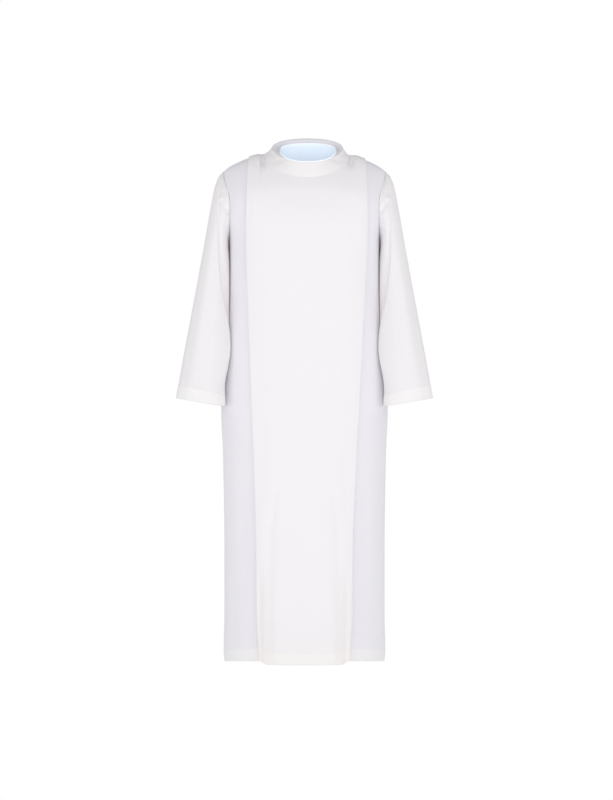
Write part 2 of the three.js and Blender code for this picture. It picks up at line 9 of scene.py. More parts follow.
# %% Load the frame
import math
import bpy
import numpy as np
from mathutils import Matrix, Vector


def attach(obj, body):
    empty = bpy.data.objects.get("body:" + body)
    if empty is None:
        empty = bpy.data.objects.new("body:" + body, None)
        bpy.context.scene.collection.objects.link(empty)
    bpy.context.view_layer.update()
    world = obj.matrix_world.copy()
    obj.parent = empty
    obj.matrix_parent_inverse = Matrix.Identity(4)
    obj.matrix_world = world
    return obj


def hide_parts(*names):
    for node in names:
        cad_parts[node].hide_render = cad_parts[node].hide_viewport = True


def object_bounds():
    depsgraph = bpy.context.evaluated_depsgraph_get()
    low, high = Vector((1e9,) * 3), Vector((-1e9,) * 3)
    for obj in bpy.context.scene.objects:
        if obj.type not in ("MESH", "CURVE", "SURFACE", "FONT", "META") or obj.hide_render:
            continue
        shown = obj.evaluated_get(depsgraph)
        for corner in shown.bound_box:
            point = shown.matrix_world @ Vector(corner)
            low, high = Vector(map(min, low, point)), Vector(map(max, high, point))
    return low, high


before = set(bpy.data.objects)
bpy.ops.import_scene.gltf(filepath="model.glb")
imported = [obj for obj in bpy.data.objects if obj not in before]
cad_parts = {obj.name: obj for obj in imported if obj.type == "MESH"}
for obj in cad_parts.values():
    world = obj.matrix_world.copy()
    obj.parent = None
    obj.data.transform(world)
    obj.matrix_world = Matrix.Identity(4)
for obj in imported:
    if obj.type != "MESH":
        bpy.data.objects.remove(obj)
cad_bounds = [list(map(float, corner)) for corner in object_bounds()]
scene = bpy.context.scene
MM = 0.001  # metres in a millimetre
print("frame", cad_bounds)

# %% [markdown]
# ## Camera
# The robe is seen straight from the front, from 8 m away, so that near and far edges look almost the same
# size. A long lens does that in a photographic studio too. The lens follows from the height of the view
# at the robe.

# %% Camera
low, high = (np.array(corner) for corner in cad_bounds)
CAMERA_DISTANCE = 8.0
VIEW_HEIGHT = 2.272
SENSOR = 36.0  # millimetres
AIM_SHIFT = [0.0057, 0, -0.004]  # from the middle of the frame to the middle of the view, in metres
AIM = (low + high) / 2 * [0, 0, 1] + AIM_SHIFT
camera = bpy.data.objects.new("camera", bpy.data.cameras.new("camera"))
scene.collection.objects.link(camera)
camera.location = AIM + [0, -CAMERA_DISTANCE, 0]
camera.rotation_euler = (math.radians(90), 0, 0)
camera.data.sensor_fit = "VERTICAL"
camera.data.sensor_height = SENSOR
camera.data.lens = SENSOR * CAMERA_DISTANCE / VIEW_HEIGHT
scene.camera = camera
print("lens", round(camera.data.lens, 1))

# %% [markdown]
# ## Tools for cloth
# Cloth has smooth curves between a few sizes that a maker knows, so each size is a column in a short
# table, and a smooth curve runs through it. The curve used here never swings past the values in the
# table, which an ordinary spline would do beside a sudden change.

# %% Curves and steps
def curve(table, key, column):
    """Smooth curve of one column against another: cubic pieces whose slope at each row is the harmonic
    mean of the slopes on both sides, or 0 at a turning point. Returns a function of arrays."""
    rows = np.array(sorted([(row[key], row[column]) for row in table]), float)
    at, value = rows[:, 0], rows[:, 1]
    rise = np.diff(value) / np.diff(at)
    product = rise[:-1] * rise[1:]
    total = np.where(rise[:-1] + rise[1:] == 0, 1, rise[:-1] + rise[1:])
    slope = np.concatenate([rise[:1], np.where(product <= 0, 0, 2 * product / total), rise[-1:]])

    def read(wanted):
        place = np.clip(wanted, at[0], at[-1])
        i = np.clip(np.searchsorted(at, place, side="right") - 1, 0, len(at) - 2)
        span = at[i + 1] - at[i]
        t = (place - at[i]) / span
        bend = span * t * (1 - t) * (slope[i] * (1 - t) - slope[i + 1] * t)
        return value[i] + (value[i + 1] - value[i]) * t * t * (3 - 2 * t) + bend

    return read


def table(columns, rows):
    """A list of rows, each a dict with the named columns."""
    return [dict(zip(columns.split(), row)) for row in rows]


def smooth(x, start, end):
    """0 before start, 1 after end, and 3t^2 - 2t^3 between them."""
    t = np.clip((x - start) / (end - start), 0, 1)
    return t * t * (3 - 2 * t)


def bump(distance, width):
    """A bell: e to the minus (distance / width) squared."""
    return np.exp(-((distance / width) ** 2))


def power(value, exponent):
    """The value's size to a power, with the value's own sign."""
    return np.sign(value) * np.abs(value) ** exponent


def mix(a, b, t):
    return a + (b - a) * t


# %% [markdown]
# ## The form that the robe hangs in
# The body of the robe is one surface. At each height its section is a rounded rectangle, with its own
# width and its own depth in front and behind. Above the chest the cloth curves over to the shoulder seam,
# along a quarter of an ellipse. An angle of 0 is the middle of the front or the back, and a quarter turn
# is the side seam.

# %% Sections of the body
FRONT, BACK = -1, 1
HEM_Z = -1437.0
HEM_DEPTH = 34.0
SHOULDER_HALF = 236.0
RISE = {FRONT: 130.0, BACK: 100.0}
ARCH_LENGTH = 1.35
NECK_HALF, NECK_X = 120.0, 7.0
NECK_DROP = {FRONT: 72.0, BACK: 6.0}
NECKLINE_ROUND = 0.45
UNDERARM_Z, ARMHOLE_TOP_Z = -245.0, -48.0
SOFT_DIP_SHARE, SOFT_DIP_ROUND = 0.065, 1.5
ROW_CROWDING, ROW_CROWDED = 1.6, 0.6  # the power that crowds the rows, and its share
ROUNDS = 12  # enough to settle a height within a hundredth of a millimetre

BODY = table("z half front back round", [
    (30, 236, 90, 98, 0.77), (-48, 236, 94, 106, 0.77), (-120, 232, 110, 114, 0.77),
    (-180, 221, 121, 117, 0.78),
    (-245, 212, 126, 116, 0.8), (-380, 213.5, 128, 112, 0.86), (-500, 220, 128, 112, 0.9),
    (-620, 229, 128, 114, 0.91), (-724, 236, 129, 117, 0.92), (-850, 231, 130, 121, 0.92),
    (-1120, 227, 133, 130, 0.92), (-1300, 227, 136, 136, 0.92), (-1400, 229, 138, 139, 0.92),
    (-1440, 226, 137, 139, 0.92),
])
SHOULDER = table("x z", [
    (0, 24), (60, 16), (100, 6), (120, 1), (145, -5), (170, -14), (197, -26), (216, -37),
    (229, -48), (237, -58),
])
ARMHOLE = table("z x", [
    (-245, 212), (-220, 211), (-190, 210), (-151, 209.5), (-131, 210.5), (-113, 213), (-92, 220),
    (-62, 228), (-48, 229),
])
body_half = curve(BODY, "z", "half")
body_reach = {FRONT: curve(BODY, "z", "front"), BACK: curve(BODY, "z", "back")}
body_round = curve(BODY, "z", "round")
shoulder_z = curve(SHOULDER, "x", "z")
armhole_x = curve(ARMHOLE, "z", "x")


def share_at(angle, z):
    """Share of the half width at an angle: the sine of the angle, to the section's power."""
    return power(np.sin(angle), body_round(z))


def angle_at(share, z):
    """The angle for a share of the half width, which undoes share_at."""
    return np.arcsin(np.clip(share, 0, 1) ** (1 / body_round(z)))


def body_point(angle, z, side):
    """x, y, z arrays on the form: the width share times the half width, and the cosine's share times the
    depth, times the arch, which is a quarter ellipse of the drop below the shoulder line."""
    share = share_at(angle, z)
    drop = np.maximum(0, shoulder_z(SHOULDER_HALF * np.abs(share)) - z)
    arch = np.sqrt(1 - (1 - np.minimum(drop / RISE[side], 1)) ** 2)
    y = side * body_reach[side](z) * np.abs(np.cos(angle)) ** body_round(z) * arch
    return np.stack([body_half(z) * share, y, np.broadcast_to(z, share.shape)], -1)


def cloth_length(drop, rise):
    """Length of cloth down from the shoulder line for a drop in height: the arc first, then the drop
    itself."""
    arc = ARCH_LENGTH * rise
    turned = arc * np.arccos(np.clip(1 - drop / rise, -1, 1)) / (math.pi / 2)
    return np.where(drop >= rise, arc + drop - rise, turned)


def drop_for(length, rise):
    """The drop for a length of cloth, which undoes cloth_length."""
    arc = ARCH_LENGTH * rise
    turned = rise * (1 - np.cos(math.pi / 2 * np.clip(length / arc, 0, 1)))
    return np.where(length >= arc, rise + length - arc, turned)


def top_z(x, side, roundness=NECKLINE_ROUND):
    """Height of the neckline, or of the shoulder seam beyond it. A larger roundness gives the same dip
    softer ends."""
    seam = shoulder_z(np.abs(x))
    share = np.clip((x - NECK_X) / NECK_HALF, -1, 1)
    corner = mix(shoulder_z(NECK_HALF), seam, share ** 8)
    dip = corner - NECK_DROP[side] * (1 - share ** 2) ** roundness
    return np.where(np.abs(share) >= 1, seam, np.minimum(dip, seam))


def edge_angle(z):
    """A panel's outer edge: the armhole above the underarm, and the side seam below it."""
    return np.where(z <= UNDERARM_Z, math.pi / 2, angle_at(armhole_x(z) / body_half(z), z))


def row_share(z, side):
    """How far down the cloth a row lies, from 0 at the shoulder to 1 at the hem, named by its height at
    the edge."""
    top = shoulder_z(SHOULDER_HALF * share_at(edge_angle(z), z))
    return cloth_length(np.maximum(0, top - z), RISE[side]) / cloth_length(top - HEM_Z, RISE[side])


def row_z(angle, edge_z, side):
    """Height of a row at an angle. The seam above it depends on that height, so it is found in a few
    rounds. Rows follow the neckline at the top, and a softer dip a hand's breadth below it."""
    share = row_share(edge_z, side)
    softened = smooth(share, 0, SOFT_DIP_SHARE)
    z = np.broadcast_to(edge_z, np.broadcast(angle, edge_z).shape).copy()
    for _ in range(ROUNDS):
        x = SHOULDER_HALF * share_at(angle, z)
        seam = shoulder_z(np.abs(x))
        sharp = cloth_length(np.maximum(0, seam - top_z(x, side)), RISE[side])
        soft = cloth_length(np.maximum(0, seam - top_z(x, side, SOFT_DIP_ROUND)), RISE[side])
        first = mix(sharp, soft, softened)
        last = cloth_length(seam - HEM_Z, RISE[side])
        z = seam - drop_for(mix(first, last, share), RISE[side])
    return z


def row_heights(count):
    """Heights of the rows at the outer edge, closer together near the shoulder and at the hem."""
    t = np.linspace(0, 1, count)
    eased = mix(t, t ** ROW_CROWDING, ROW_CROWDED)
    return mix(ARMHOLE_TOP_Z, HEM_Z, eased)[:, None]


print("hem width", round(float(body_half(np.array(HEM_Z))) * 2), "mm")

# %% [markdown]
# ## Folds
# A fold in hanging cloth is a soft ridge or a soft trough along a line. Each row of a fold table is one
# fold: where it starts and ends, half its breadth and its height. Placing them one by one keeps them as
# uneven as real ones, which a noise texture would not.

# %% Folds along lines
FOLD_COLUMNS = "x0 z0 x1 z1 width height"
RISING, FALLING = (-0.08, 0.22), (0.78, 1.08)  # shares of a fold's length where it swells and dies away


def fold_relief(folds, x, z):
    """Sum of the folds at x, z: a bell of the distance from the fold's line, times its height, fading at
    both ends."""
    relief = np.zeros(np.broadcast(x, z).shape)
    for f in folds:
        along = np.array([f["x1"] - f["x0"], f["z1"] - f["z0"]])
        length = np.hypot(*along)
        t = ((x - f["x0"]) * along[0] + (z - f["z0"]) * along[1]) / length ** 2
        across = ((x - f["x0"]) * along[1] - (z - f["z0"]) * along[0]) / length
        ends = smooth(t, *RISING) * (1 - smooth(t, *FALLING))
        relief += f["height"] * bump(across, f["width"]) * ends
    return relief


# %% [markdown]
# ## From grid to cloth
# Every piece is a grid of points. The normals of the grid push folds in and out, and the grid's own
# lengths give the UV map, in metres, so that the weave follows the cloth and has the same scale
# everywhere. Solidify then gives the sheet the thickness of one layer of poplin.

# %% Meshes from grids
CLOTH = 0.8  # one layer


def grid_normals(grid, closed=False):
    """Unit normals of a grid: the cross product of the steps across and down, outwards on every piece
    here."""
    if closed:
        across = np.roll(grid, -1, 1) - np.roll(grid, 1, 1)
    else:
        across = np.gradient(grid, axis=1)
    down = np.gradient(grid, axis=0)
    normal = np.cross(down, across)
    return normal / np.maximum(np.linalg.norm(normal, axis=-1, keepdims=True), 1e-9)


def outwards(grid, heights, closed=False):
    """The grid with each point moved along its normal by a height."""
    return grid + grid_normals(grid, closed) * heights[..., None]


def lengths(grid, axis):
    """Distance along the grid in one direction, starting at 0 and averaged over the other direction."""
    step = np.linalg.norm(np.diff(grid, axis=axis), axis=-1)
    return np.concatenate([[0], np.cumsum(step.mean(1 - axis))])


def cloth_piece(name, grid, material, closed=False, thickness=CLOTH, masks=None):
    """A mesh from a grid of points in millimetres. With closed, the last column joins the first. masks
    are grids of numbers that the material reads as attributes. The cut's flat size is measured along the
    grid."""
    rows, columns = grid.shape[:2]
    r, c = np.meshgrid(np.arange(rows - 1), np.arange(columns if closed else columns - 1), indexing="ij")
    right = (c + 1) % columns
    row, below = r * columns, (r + 1) * columns
    faces = np.stack([row + c, below + c, below + right, row + right], -1)
    u, v = lengths(grid, 1), lengths(grid, 0)
    if closed:
        u = np.append(u, u[-1] + np.linalg.norm(grid[:, 0] - grid[:, -1], axis=-1).mean())
    corner_u = np.stack([u[c], u[c], u[c + 1], u[c + 1]], -1)
    corner_v = np.stack([v[r], v[r + 1], v[r + 1], v[r]], -1)
    mesh = bpy.data.meshes.new(name)
    mesh.from_pydata((grid.reshape(-1, 3) * MM).tolist(), [], faces.reshape(-1, 4).tolist())
    uv = np.stack([corner_u, corner_v], -1).reshape(-1) * MM
    mesh.uv_layers.new(name="cloth").data.foreach_set("uv", uv)
    for mask, values in (masks or {}).items():
        layer = mesh.attributes.new(mask, "FLOAT", "POINT")
        layer.data.foreach_set("value", np.ascontiguousarray(values, np.float32).ravel())
    mesh.polygons.foreach_set("use_smooth", np.ones(len(mesh.polygons), bool))
    piece = bpy.data.objects.new(name, mesh)
    scene.collection.objects.link(piece)
    wall = piece.modifiers.new("thickness", "SOLIDIFY")
    wall.thickness = thickness * MM
    wall.offset = 0
    even = piece.modifiers.new("shading", "WEIGHTED_NORMAL")  # so the narrow rims don't tilt the shading
    even.weight = 90
    mesh.materials.append(material)
    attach(piece, "root")
    return piece


# heights of the hem's rows above its edge
HEM_LEVELS = [44, 40, 37, 35.6, 34.8, 34.2, 33.6, 32.8, 31.5, 28, 22, 15, 9, 5, 2.5, 1, 0]
INSIDE = 1.7  # from the outer layer of a hem to the inner one
HEM_STEP = 0.5  # how far the doubled cloth stands out
PUCKER, PUCKER_BREADTH, PUCKER_PITCH = 0.3, 1.2, 17.0
SLACK, SLACK_BREADTH, SLACK_WAVE, SLACK_DRIFT = 0.5, 9, 23, 71  # the doubled cloth's faint unevenness
stitch_lines = []  # points and normals that the stitches follow


def turned_up(grid, closed=False):
    """The grid with its last edge folded under: down to the edge, round a small roll, and up inside by
    the hem's depth. Also returns the mask of doubled cloth. Rows lie closer together at the stitch line,
    where the cloth puckers a little."""
    normal = grid_normals(grid, closed)
    v = lengths(grid, 0)
    kept = np.flatnonzero(v[-1] - v > HEM_LEVELS[0] + 3)
    level = np.array(HEM_LEVELS)
    index = np.interp(v[-1] - level, v, np.arange(len(v)))
    whole = np.clip(index.astype(int), 0, len(v) - 2)
    part = (index - whole)[:, None, None]
    band = mix(grid[whole], grid[whole + 1], part)
    band_normal = mix(normal[whole], normal[whole + 1], part)
    along = lengths(band[4:5], 1)[None, :]
    step = HEM_STEP * (1 - smooth(level, HEM_DEPTH - 1, HEM_DEPTH + 1.5))[:, None]
    pulled = 1 + np.sin(along * 2 * math.pi / PUCKER_PITCH)
    dent = PUCKER * bump(level - HEM_DEPTH, PUCKER_BREADTH)[:, None] * pulled
    wave = np.sin(along / SLACK_WAVE + 2 * np.sin(along / SLACK_DRIFT))
    slack = SLACK * bump(level - HEM_DEPTH / 2, SLACK_BREADTH)[:, None] * wave
    band = band + band_normal * (step - dent + slack)[..., None]
    inner_level = level[::-1][3:-4:2]
    rows = [int(np.flatnonzero(level == value)[0]) for value in inner_level]
    inner = band[rows] - band_normal[rows] * INSIDE
    edge = mix(band[-1], band[-2] - band_normal[-1] * INSIDE, 0.5)
    drop = band[-1] - band[-3]
    edge = edge + drop / np.linalg.norm(drop, axis=-1, keepdims=True) * INSIDE * 0.6
    stitch_lines.append((band[5] + band_normal[5] * CLOTH * 0.5, band_normal[5], closed))
    whole_grid = np.concatenate([grid[kept], band, edge[None], inner])
    single = np.zeros((len(kept), grid.shape[1]))
    doubled = np.repeat((1 - smooth(level, HEM_DEPTH - 0.6, HEM_DEPTH + 0.6))[:, None], grid.shape[1], 1)
    inside = np.ones((1 + len(inner), grid.shape[1]))
    return whole_grid, dict(double_and_highlight=np.concatenate([single, doubled, inside]))


# %% [markdown]
# ## The cloth's look
# White polyester and cotton poplin is a plain weave: each thread passes over one and under the next. From
# a few metres it is an even, matt white with a faint sheen at grazing angles, a slightly cloudy tone, and
# thicker threads here and there. Each of these is a node group with named sockets, so every piece shares
# them.

# %% Node helpers
def node_group(name, inputs, outputs):
    """A new shader node group, with its input and output nodes."""
    group = bpy.data.node_groups.new(name, "ShaderNodeTree")
    for label, kind, default in inputs:
        socket = group.interface.new_socket(label, in_out="INPUT", socket_type=kind)
        if default is not None:
            socket.default_value = default
    for label, kind in outputs:
        group.interface.new_socket(label, in_out="OUTPUT", socket_type=kind)
    return group, group.nodes.new("NodeGroupInput"), group.nodes.new("NodeGroupOutput")


def math_node(tree, operation, *values):
    """A Math node; each value is a number or a socket. Returns its output socket."""
    node = tree.nodes.new("ShaderNodeMath")
    node.operation = operation
    for slot, value in enumerate(values):
        if isinstance(value, bpy.types.NodeSocket):
            tree.links.new(value, node.inputs[slot])
        else:
            node.inputs[slot].default_value = value
    return node.outputs[0]


# %% Plain weave
weave, weave_in, weave_out = node_group("PlainWeave", [("Place", "NodeSocketVector", None),
                                                        ("Threads per metre", "NodeSocketFloat", 2600.0)],
                                        [("Height", "NodeSocketFloat")])
split = weave.nodes.new("ShaderNodeSeparateXYZ")
weave.links.new(weave_in.outputs["Place"], split.inputs[0])
waves = []
for axis in range(2):
    turns = math_node(weave, "MULTIPLY", split.outputs[axis], weave_in.outputs["Threads per metre"])
    waves.append(math_node(weave, "SINE", math_node(weave, "MULTIPLY", turns, math.pi)))
warp, weft = (math_node(weave, "ABSOLUTE", wave) for wave in waves)
warp_over = math_node(weave, "MULTIPLY", warp, math_node(weave, "SQRT", weft))
weft_over = math_node(weave, "MULTIPLY", weft, math_node(weave, "SQRT", warp))
parity = math_node(weave, "GREATER_THAN", math_node(weave, "MULTIPLY", *waves), 0.0)
difference = math_node(weave, "SUBTRACT", warp_over, weft_over)
crossing = math_node(weave, "MULTIPLY_ADD", difference, parity, weft_over)
weave.links.new(crossing, weave_out.inputs["Height"])

# %% Cloudy tone, slubs, wrinkles and painted shade
tone, tone_in, tone_out = node_group("ClothTone", [
    ("Base", "NodeSocketColor", (0.9, 0.9, 0.9, 1)), ("Doubled and highlight colour", "NodeSocketColor", (0.93, 0.92, 0.9, 1)),
    ("Double and highlight", "NodeSocketFloat", 0.0), ("Painted shade", "NodeSocketFloat", 0.0),
    ("Cloud", "NodeSocketFloat", 0.012), ("Place", "NodeSocketVector", None),
    ("Along", "NodeSocketVector", None)],
    [("Color", "NodeSocketColor"), ("Relief", "NodeSocketFloat")])
CLOUD_SCALE, SLUB_SCALE, WRINKLE_SCALE = 7.0, 900.0, 26.0
GRAIN = 0.014  # how much the thicker threads change the tone
# Painted shade: a warm brown tint that the masks mix into the cloth where it lies in creases and gaps.
PAINTED_SHADE_TINT = (0.80, 0.71, 0.62, 1)


def noise(tree, place, scale, detail=3.0):
    """A noise texture at a place; returns its value socket."""
    node = tree.nodes.new("ShaderNodeTexNoise")
    node.inputs["Scale"].default_value = scale
    node.inputs["Detail"].default_value = detail
    tree.links.new(place, node.inputs["Vector"])
    return node.outputs[0]


def mix_color(tree, factor, a, b, blend="MIX"):
    """A colour Mix node; a and b are colours or sockets. Returns its colour socket."""
    node = tree.nodes.new("ShaderNodeMix")
    node.data_type, node.blend_type = "RGBA", blend
    for socket, value in ((node.inputs[0], factor), (node.inputs[6], a), (node.inputs[7], b)):
        if isinstance(value, bpy.types.NodeSocket):
            tree.links.new(value, socket)
        else:
            socket.default_value = value
    return node.outputs[2]


stretch = tone.nodes.new("ShaderNodeMapping")
stretch.inputs["Scale"].default_value = (1.0, 0.03, 1.0)
tone.links.new(tone_in.outputs["Along"], stretch.inputs["Vector"])
cloud = noise(tone, tone_in.outputs["Place"], CLOUD_SCALE)
slub = noise(tone, stretch.outputs[0], SLUB_SCALE, 1.0)
layered = mix_color(tone, tone_in.outputs["Double and highlight"], tone_in.outputs["Base"], tone_in.outputs["Doubled and highlight colour"])
with_painted_shade = mix_color(tone, tone_in.outputs["Painted shade"], layered, PAINTED_SHADE_TINT)
shade = math_node(tone, "MULTIPLY", math_node(tone, "SUBTRACT", cloud, 0.5), tone_in.outputs["Cloud"])
grain = math_node(tone, "MULTIPLY", math_node(tone, "SUBTRACT", slub, 0.5), GRAIN)
level = math_node(tone, "ADD", 1.0, math_node(tone, "ADD", shade, grain))
gray = tone.nodes.new("ShaderNodeCombineColor")
for socket in gray.inputs:
    tone.links.new(level, socket)
tone.links.new(mix_color(tone, 1.0, with_painted_shade, gray.outputs[0], "MULTIPLY"), tone_out.inputs["Color"])
tone.links.new(noise(tone, tone_in.outputs["Place"], WRINKLE_SCALE, 4.0), tone_out.inputs["Relief"])


# %% Cloth materials
def cloth_material(name, base, doubled, roughness=0.86, sheen=0.12, cloud=0.02, wrinkle=0.0012):
    """A woven cloth: tone from the shared group, wrinkles and threads as two bumps, and a constant
    sheen. Two masks mix in a doubled colour for doubled cloth, which on the lining is a painted
    highlight, and a painted warm shade."""
    material = bpy.data.materials.new(name)
    material.use_nodes = True
    tree = material.node_tree
    shader = tree.nodes["Principled BSDF"]
    shader.inputs["Roughness"].default_value = roughness
    shader.inputs["Sheen Weight"].default_value = sheen
    shader.inputs["Sheen Roughness"].default_value = 0.45
    shader.inputs["Specular IOR Level"].default_value = 0.22
    place = tree.nodes.new("ShaderNodeTexCoord")
    along = tree.nodes.new("ShaderNodeUVMap")
    along.uv_map = "cloth"
    masks = {}
    for mask in ("double_and_highlight", "painted_shade"):
        masks[mask] = tree.nodes.new("ShaderNodeAttribute")
        masks[mask].attribute_name = mask
    toned = tree.nodes.new("ShaderNodeGroup")
    toned.node_tree = tone
    toned.inputs["Base"].default_value = (*base, 1)
    toned.inputs["Doubled and highlight colour"].default_value = (*doubled, 1)
    toned.inputs["Cloud"].default_value = cloud
    tree.links.new(masks["double_and_highlight"].outputs["Fac"], toned.inputs["Double and highlight"])
    tree.links.new(masks["painted_shade"].outputs["Fac"], toned.inputs["Painted shade"])
    tree.links.new(place.outputs["Object"], toned.inputs["Place"])
    tree.links.new(along.outputs[0], toned.inputs["Along"])
    tree.links.new(toned.outputs["Color"], shader.inputs["Base Color"])
    woven = tree.nodes.new("ShaderNodeGroup")
    woven.node_tree = weave
    tree.links.new(along.outputs[0], woven.inputs["Place"])
    soft = tree.nodes.new("ShaderNodeBump")
    soft.inputs["Strength"].default_value = 1.0
    soft.inputs["Distance"].default_value = wrinkle
    tree.links.new(toned.outputs["Relief"], soft.inputs["Height"])
    threads = tree.nodes.new("ShaderNodeBump")
    threads.inputs["Strength"].default_value = 0.5
    threads.inputs["Distance"].default_value = 0.00006
    tree.links.new(woven.outputs["Height"], threads.inputs["Height"])
    tree.links.new(soft.outputs[0], threads.inputs["Normal"])
    tree.links.new(threads.outputs[0], shader.inputs["Normal"])
    return material


cloth_centre = cloth_material("cloth_centre", (0.93, 0.91, 0.935), (0.945, 0.925, 0.93))
# Painted shade: the side panels, the back and the back of the collar get a darker, bluer copy of the cloth.
cloth_painted_shade = cloth_material("cloth_painted_shade", (0.885, 0.87, 0.92), (0.91, 0.895, 0.91))
cloth_sleeve = cloth_material("cloth_sleeve", (0.92, 0.90, 0.92), (0.955, 0.94, 0.95))
# Painted light: the collar gets a lighter copy of the cloth.
cloth_collar_painted_light = cloth_material("cloth_collar_painted_light", (0.965, 0.938, 0.96), (0.965, 0.945, 0.96))
# The lining's cloth is pale blue. Its second colour is whiter and goes along its top edge as a painted
# highlight.
cloth_lining = cloth_material("cloth_lining", (0.82, 0.90, 1.0), (0.97, 0.97, 0.98))
painted_glow = cloth_lining.node_tree.nodes["Principled BSDF"]  # painted glow: the band gives off a little pale blue light of its own
painted_glow.inputs["Emission Color"].default_value = (0.72, 0.86, 1.0, 1)
painted_glow.inputs["Emission Strength"].default_value = 0.26
thread = bpy.data.materials.new("thread")
thread.use_nodes = True
thread.node_tree.nodes["Principled BSDF"].inputs["Base Color"].default_value = (0.9, 0.89, 0.87, 1)
thread.node_tree.nodes["Principled BSDF"].inputs["Roughness"].default_value = 0.6
print("materials", [material.name for material in bpy.data.materials])

# %% [markdown]
# ## The centre panel of the front
# The front's middle is one wide box pleat. Its cloth runs from a seam under the pleat's edge out to the
# fold, round it, across the chest to the other fold and back under. The panel stands a little proud of
# the side panels, most of all near the hem, where its middle stays flat and its sides roll back. The
# grid's columns go round the folds, so the folded edge is real cloth and not a crease in a texture.

# %% Sizes of the pleat
PLEAT_RETURN = 34.0
SEAM_CLEAR = 0.2  # front and back stay this far from the plane between them
PLEAT = table("z half shift under over middle", [
    (0, 162, 7, 2.6, 4.4, 0), (-50, 166, 7, 2.6, 4.4, 0.5), (-100, 168, 7, 2.6, 4.4, 2),
    (-220, 169, 6, 2.4, 4.4, 3.6), (-412, 162, 4.5, 2.4, 4.8, 4.5), (-554, 156, 4, 2.3, 5, 5),
    (-696, 150, 2.5, 2.2, 5.4, 6), (-838, 143, 1.5, 2.2, 7, 8), (-1122, 133, 0, 2.8, 11, 16),
    (-1300, 131, 0, 3.4, 14, 22), (-1440, 124, 0, 4, 15, 24),
])
pleat = {column: curve(PLEAT, "z", column) for column in ("half", "shift", "under", "over", "middle")}


def pleat_angle(edge_z, sign):
    """The angle of the pleat's folded edge at each row, on the wearer's left where sign is 1."""
    z = edge_z.copy()
    for _ in range(ROUNDS):
        angle = angle_at((pleat["half"](z) + sign * pleat["shift"](z)) / body_half(z), z)
        z = row_z(sign * angle, edge_z, FRONT)
    return angle


def inwards(angle, edge_z, distance, sign):
    """The angle that lies a distance in millimetres nearer the middle than an angle."""
    z = row_z(sign * angle, edge_z, FRONT)
    step = 0.01
    here, nearer = body_point(angle, z, FRONT), body_point(angle - step, z, FRONT)
    speed = np.linalg.norm(here - nearer, axis=-1) / step
    return angle - distance / speed


def body_normal(angle, z, side):
    """Outward unit normal of the form, from small steps round it and down it."""
    step = 0.02
    inside = np.clip(angle, -math.pi / 2 + 2 * step, math.pi / 2 - 2 * step)
    across = body_point(inside + step, z - 3, side) - body_point(inside - step, z - 3, side)
    down = body_point(inside, z - 7, side) - body_point(inside, z - 3, side)
    normal = np.cross(across, down)
    normal /= np.linalg.norm(normal, axis=-1, keepdims=True)
    out = np.stack([np.sin(inside), side * np.cos(inside), np.zeros_like(inside)], -1)
    return normal * np.sign((normal * out).sum(-1, keepdims=True))


def panel_point(angle, edge_z, side, height=0.0):
    """A point on a panel: the form's point at the row's height, moved out along the normal by a
    height."""
    z = row_z(angle, edge_z, side)
    angles, heights = np.broadcast_to(angle, z.shape), np.broadcast_to(height, z.shape)
    point = body_point(angles, z, side) + body_normal(angles, z, side) * heights[..., None]
    point[..., 1] = side * np.maximum(side * point[..., 1], SEAM_CLEAR)
    return point


# %% Shape of the centre panel
PANEL_FOLDS = table(FOLD_COLUMNS, [
    (23, -560, 21, -900, 7, 0.9),
    (-18, -800, -20, -1010, 8, 0.9),
    (21, -960, 22, -1030, 6, 0.7),
    (-72, -470, -74, -760, 9, -0.7),
    (80, -540, 78, -820, 9, -0.6),
    (-74, -930, -90, -1060, 9, -2.2),
    (86, -945, 78, -1010, 8, -2.0),
    (82, -1000, 95, -1070, 9, -1.6),
    (-9, -1215, -14, -1270, 14, -1.6),
    (-36, -1180, -30, -1380, 16, -1.0),
    (44, -1150, 50, -1370, 18, 0.9),
    (-92, -980, -97, -1460, 15, -3.8),
    (90, -1000, 95, -1460, 14, -3.4),
    (-121, -1150, -118, -1470, 8, -3.0),
    (113, -1190, 110, -1470, 7, -2.4),
    (-120, -80, -150, -260, 20, 1.0),
    (130, -90, 158, -250, 20, 1.0),
])
# distance below the collar, height and breadth
NECK_WRINKLES = [(7.0, 0.4, 2.6), (15.0, 0.35, 3.0), (25.0, 0.25, 3.6)]
HOLLOWS = [(-121, -26, 15, 6.0), (129, -27, 14, 5.0)]  # beside the collar: x, z, half breadth, depth
FLAT_HALF = 78.0  # the middle of the skirt stays flat out to here
PANEL_ROWS = 210


top_reach = {}  # the angle at which the top layer ends along the shoulder, on each side


def pleat_side(edge_z, sign):
    """Columns from the seam under the pleat out to the fold and round it, ending where the top layer
    starts."""
    edge = pleat_angle(edge_z, sign)
    z = row_z(sign * edge, edge_z, FRONT)
    under, over = pleat["under"](z), pleat["over"](z)
    radius = (over - under) / 2
    top_reach[sign] = float(inwards(edge, edge_z, radius, sign)[0, 0])
    place = [(mix(radius, PLEAT_RETURN, s), under) for s in np.linspace(1, 0, 9)]
    for degrees in (-60, -30, 0, 30, 60):
        a = math.radians(degrees)
        place.append((radius * (1 - math.cos(a)), (over + under) / 2 + radius * math.sin(a)))
    points = [panel_point(sign * inwards(edge, edge_z, d, sign), edge_z, FRONT, h) for d, h in place]
    return np.concatenate(points, 1), inwards(edge, edge_z, radius, sign)


def top_height(share, x, z):
    """Height of the top layer over the form. It goes from the middle's height to the edge's height, and
    near the hem it stays flat out to FLAT_HALF and then falls back to the edge."""
    upper = smooth(np.abs(share), 0.66, 0.8)
    half = pleat["half"](z)
    lower = np.clip((np.abs(x) - FLAT_HALF) / (half - FLAT_HALF), 0, 1)
    low_down = smooth(-z, 900, 1050)
    return mix(pleat["middle"](z), pleat["over"](z), mix(upper, lower, low_down))


def hitched(grid, lift):
    """The grid with its hem line raised by an amount for each point, fading out a hand's breadth above
    the hem."""
    z = grid[..., 2]
    raised = grid.copy()
    raised[..., 2] += lift * smooth(-z, 1250, 1437)
    return raised


